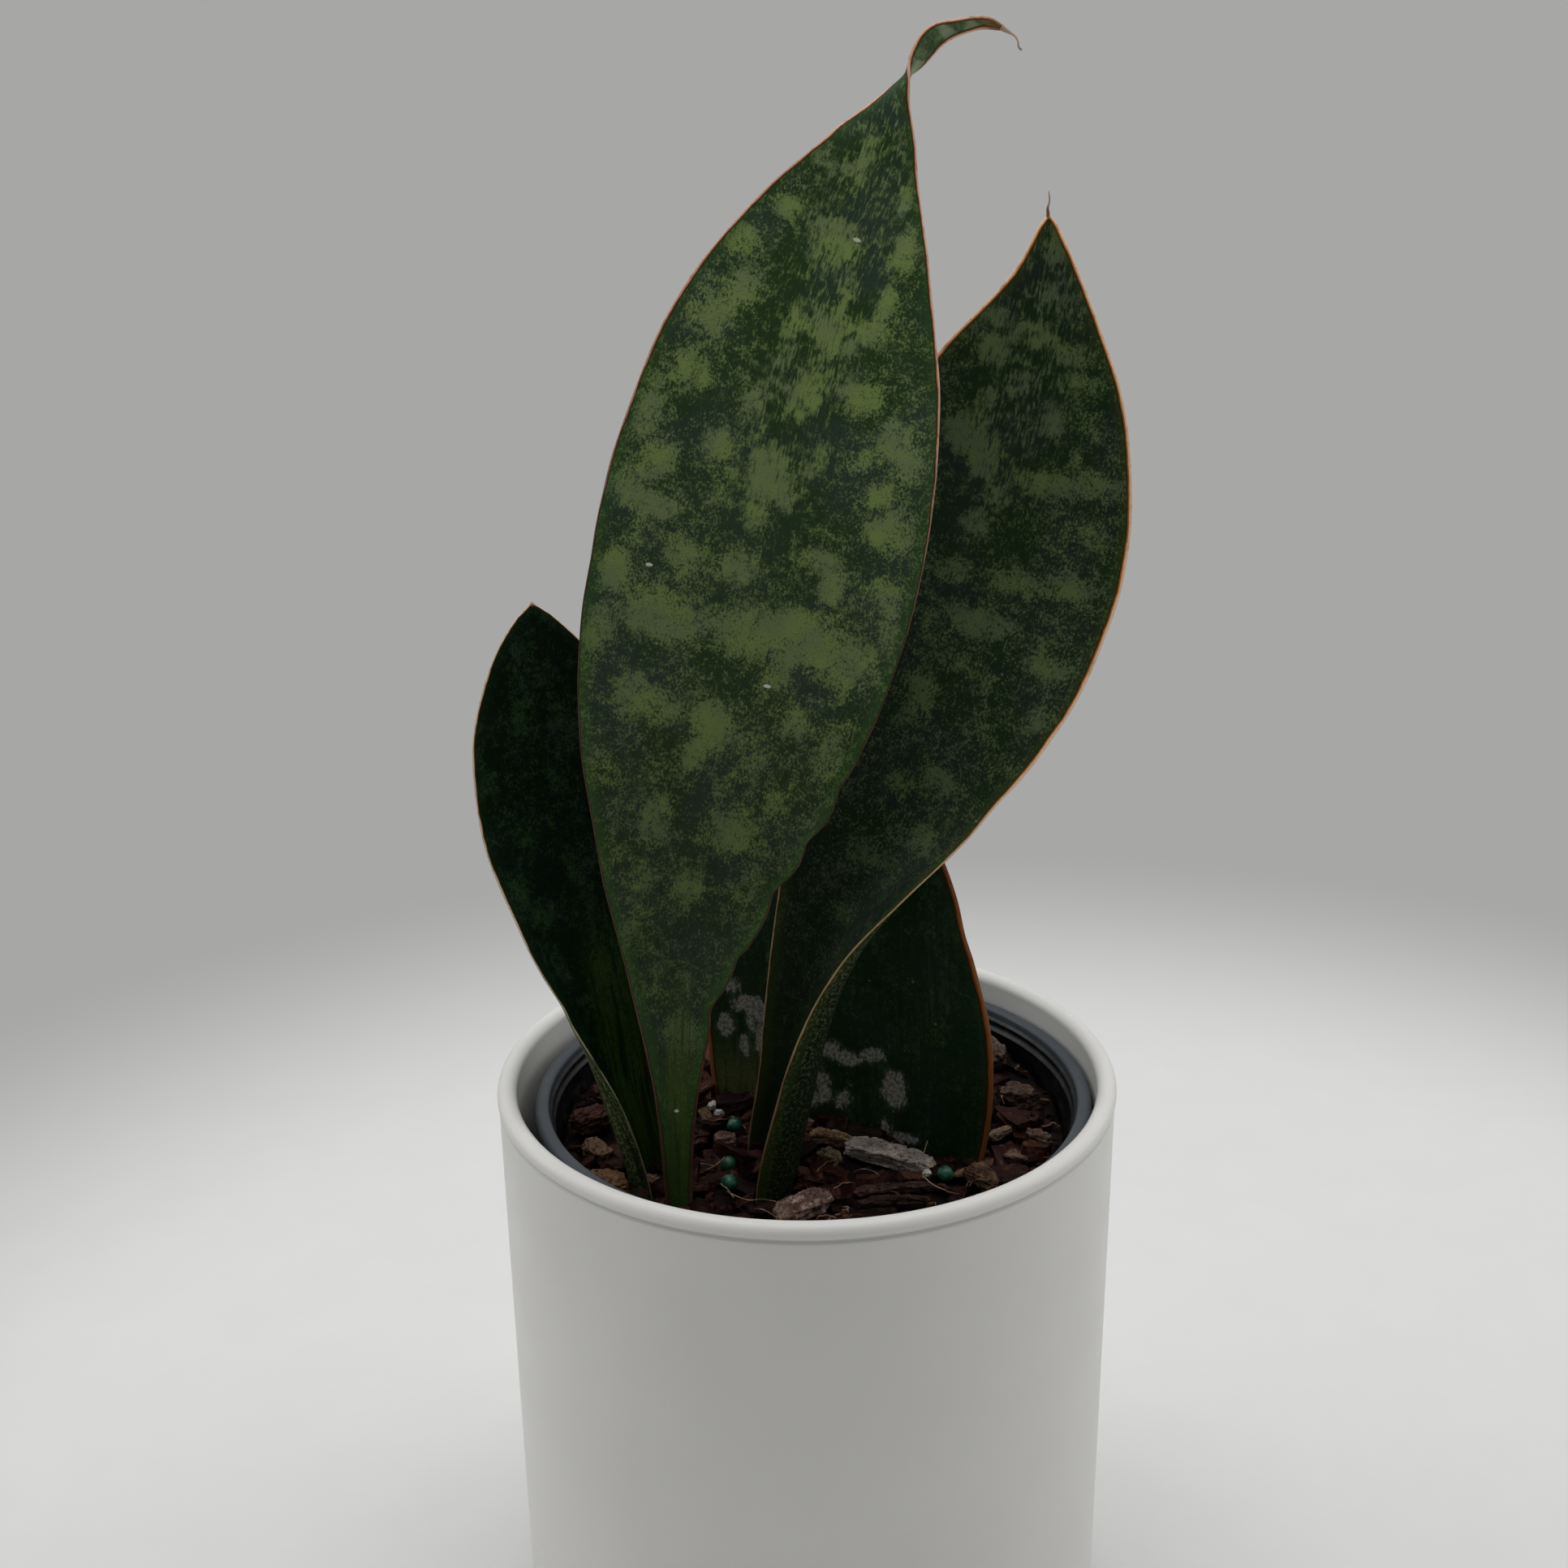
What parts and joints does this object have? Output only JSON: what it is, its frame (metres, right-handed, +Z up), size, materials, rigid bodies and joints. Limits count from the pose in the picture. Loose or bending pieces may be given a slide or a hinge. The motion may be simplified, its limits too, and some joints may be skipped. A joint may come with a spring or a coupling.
{
  "type": "potted snake plant",
  "caption": "Broad-leaved snake plant in bark mix, in a black nursery pot standing inside a plain white glazed cylinder cover pot.",
  "frame": {"origin": "centre of the cover pot's flat underside", "axes": "+Z up along the cover pot's axis; +X to the right and +Y away from the viewer when the broad face of the tall leaf is seen from the front (-Y)"},
  "size_m": [0.1207, 0.12, 0.3092],
  "materials": {
    "glaze": "white satin-matt glaze with a few dark specks",
    "black_plastic": "bluish-black moulded plastic, slightly glossy and dusty",
    "mix": "damp dark bark and peat crumbs",
    "leaf_skin": "waxy dark green skin mottled with sage green bands, with an orange-brown margin",
    "bark_pale": "weathered greyish tan bark",
    "bark_red": "rough red-brown bark",
    "prill_coat": "smooth teal resin coating",
    "perlite": "matt white porous grains"
  },
  "bodies": {
    "root": {"cover_pot": "glaze", "nursery_pot": "black_plastic", "potting_mix": "mix", "leaf_tall": "leaf_skin", "leaf_right": "leaf_skin", "leaf_left": "leaf_skin", "leaf_back": "leaf_skin", "bark_grey_slab": "bark_pale", "bark_pink_flake": "bark_pale", "bark_brown_block": "bark_pale", "bark_red_block": "bark_red", "bark_long_sliver": "bark_red", "bark_dark_sliver": "bark_red", "bark_light_splinter": "bark_pale", "bark_tan_chip": "bark_pale", "bark_tan_crumb": "bark_pale", "bark_pink_cube": "bark_pale", "bark_back_block": "bark_pale", "bark_right_block": "bark_pale", "bark_right_chip": "bark_pale", "bark_front_chip": "bark_red", "bark_flat_chip": "bark_pale", "bark_left_chip": "bark_red", "bark_left_crumb": "bark_red", "fertiliser_prill_1": "prill_coat", "fertiliser_prill_2": "prill_coat", "fertiliser_prill_3": "prill_coat", "fertiliser_prill_4": "prill_coat", "perlite_1": "perlite", "perlite_2": "perlite", "perlite_3": "perlite"}
  },
  "joints": []
}
